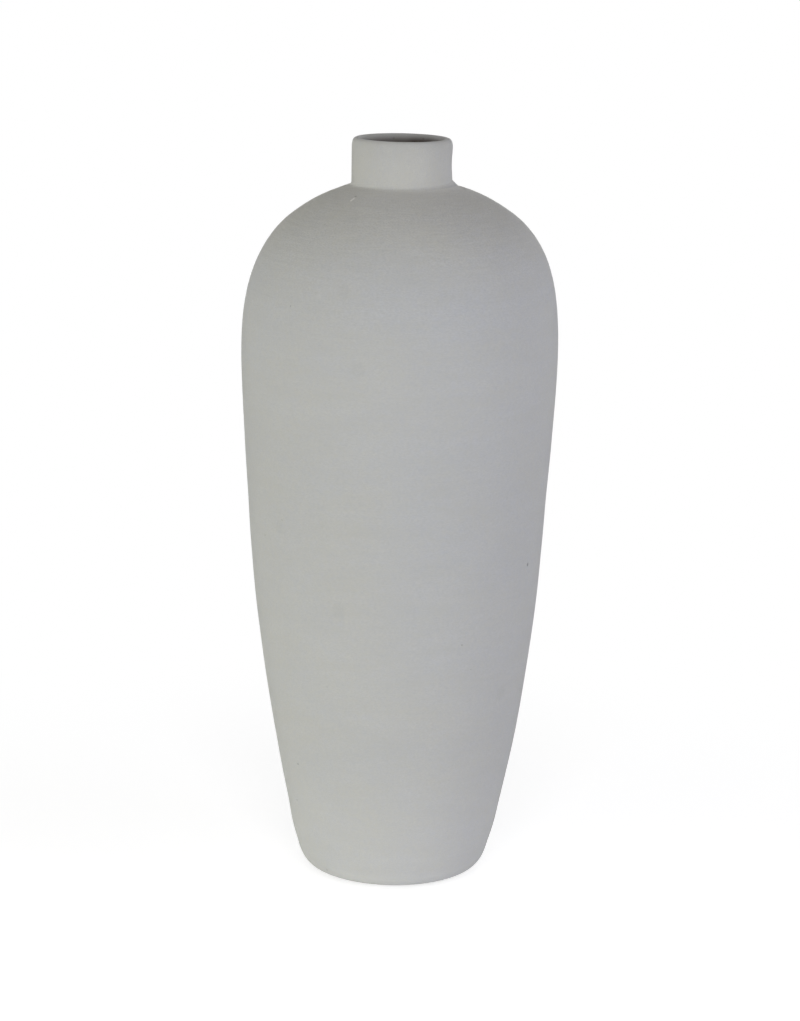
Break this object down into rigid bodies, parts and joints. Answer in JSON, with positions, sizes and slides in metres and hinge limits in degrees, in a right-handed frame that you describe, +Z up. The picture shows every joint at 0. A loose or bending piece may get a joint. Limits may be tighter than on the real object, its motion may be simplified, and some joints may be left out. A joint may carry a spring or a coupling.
{
  "type": "ceramic vase",
  "caption": "Tall ceramic bottle vase with a small rounded foot, leaning wall, full shoulder and short straight neck; clay sections luted with slip and lined with glaze.",
  "frame": {"origin": "centre of the foot ring, on the surface that the vase stands on", "axes": "+Z up along the vase's axis, through the mouth; the vase is round, so X and Y are free, and -Y faces the viewer in the picture"},
  "size_m": [0.2112, 0.2112, 0.5],
  "materials": {
    "clay": "matte, fine grain, faint turning lines",
    "slip": "matte, smoothed by hand",
    "glaze": "satin glaze"
  },
  "bodies": {
    "root": {"base": "clay", "body_wall": "clay", "shoulder": "clay", "neck_collar": "clay", "base_slip": "slip", "belly_slip": "slip", "neck_slip": "slip", "glaze_lining": "glaze"}
  },
  "joints": []
}
